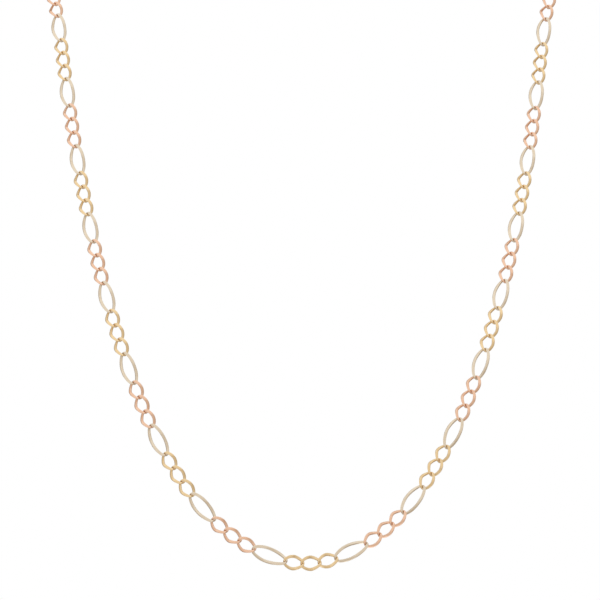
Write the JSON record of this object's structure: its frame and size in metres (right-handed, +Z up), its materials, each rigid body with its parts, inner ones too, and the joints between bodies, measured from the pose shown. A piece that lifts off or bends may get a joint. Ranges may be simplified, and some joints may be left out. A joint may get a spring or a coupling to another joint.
{
  "type": "figaro neck chain",
  "caption": "Slim figaro neck chain in white, yellow and rose gold, with long oval links between groups of small twisted curb links and a barrel clasp at the nape.",
  "frame": {"origin": "middle of the clasp, which lies at the nape", "axes": "+X towards the wearer's left, which is the viewer's right, +Y towards the wearer's back, +Z up"},
  "size_m": [0.1259, 0.125, 0.1435],
  "materials": {
    "white_gold": "polished",
    "yellow_gold": "polished",
    "rose_gold": "polished"
  },
  "bodies": {
    "root": {"white_oval_links": "white_gold", "yellow_curb_links": "yellow_gold", "rose_curb_links": "rose_gold", "clasp": "yellow_gold"}
  },
  "joints": []
}
